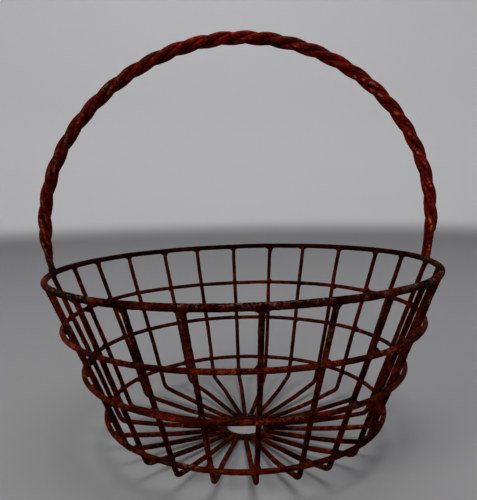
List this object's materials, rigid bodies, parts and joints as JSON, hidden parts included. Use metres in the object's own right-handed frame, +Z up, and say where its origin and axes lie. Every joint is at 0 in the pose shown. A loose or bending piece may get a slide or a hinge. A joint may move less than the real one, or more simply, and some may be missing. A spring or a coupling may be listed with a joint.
{
  "type": "fruit picker basket",
  "caption": "Round open basket of welded iron wire with flared sides, three outer hoops, a radial wire base and a tall fixed bow handle twisted from round rods.",
  "frame": {"origin": "on the ground under the middle of the hub ring, which is the lowest part of the basket", "axes": "+Z up; the bow handle stands in the X-Z plane with its feet at +X and -X; -Y is the side that the first rib faces"},
  "size_m": [0.4257, 0.4064, 0.4269],
  "materials": {
    "rim_rust": "rusted, mottled grey-brown, matt",
    "hoop_rust": "rusted, orange-brown patches, matt",
    "rib_rust": "rusted, deep maroon-brown, matt",
    "base_rust": "rusted, orange-brown, matt",
    "handle_rust": "rusted, deep red-brown, worn satin on the crowns",
    "weld_scale": "burnt dark weld bead under rust"
  },
  "bodies": {
    "root": {"rim_hoop": "rim_rust", "upper_hoop": "hoop_rust", "middle_hoop": "hoop_rust", "lower_hoop": "hoop_rust", "hub_ring": "base_rust", "rib_01": "rib_rust", "rib_02": "rib_rust", "rib_03": "rib_rust", "rib_04": "rib_rust", "rib_05": "rib_rust", "rib_06": "rib_rust", "rib_07": "rib_rust", "rib_08": "rib_rust", "rib_09": "rib_rust", "rib_10": "rib_rust", "rib_11": "rib_rust", "rib_12": "rib_rust", "rib_13": "rib_rust", "rib_14": "rib_rust", "rib_15": "rib_rust", "rib_16": "rib_rust", "rib_17": "rib_rust", "rib_18": "rib_rust", "rib_19": "rib_rust", "rib_20": "rib_rust", "rib_21": "rib_rust", "rib_22": "rib_rust", "rib_23": "rib_rust", "rib_24": "rib_rust", "handle_strand_1": "handle_rust", "handle_strand_2": "handle_rust", "handle_strand_3": "handle_rust", "rim_welds": "weld_scale", "upper_hoop_welds": "weld_scale", "middle_hoop_welds": "weld_scale", "lower_hoop_welds": "weld_scale", "hub_welds": "weld_scale", "handle_end_welds": "weld_scale"}
  },
  "joints": []
}
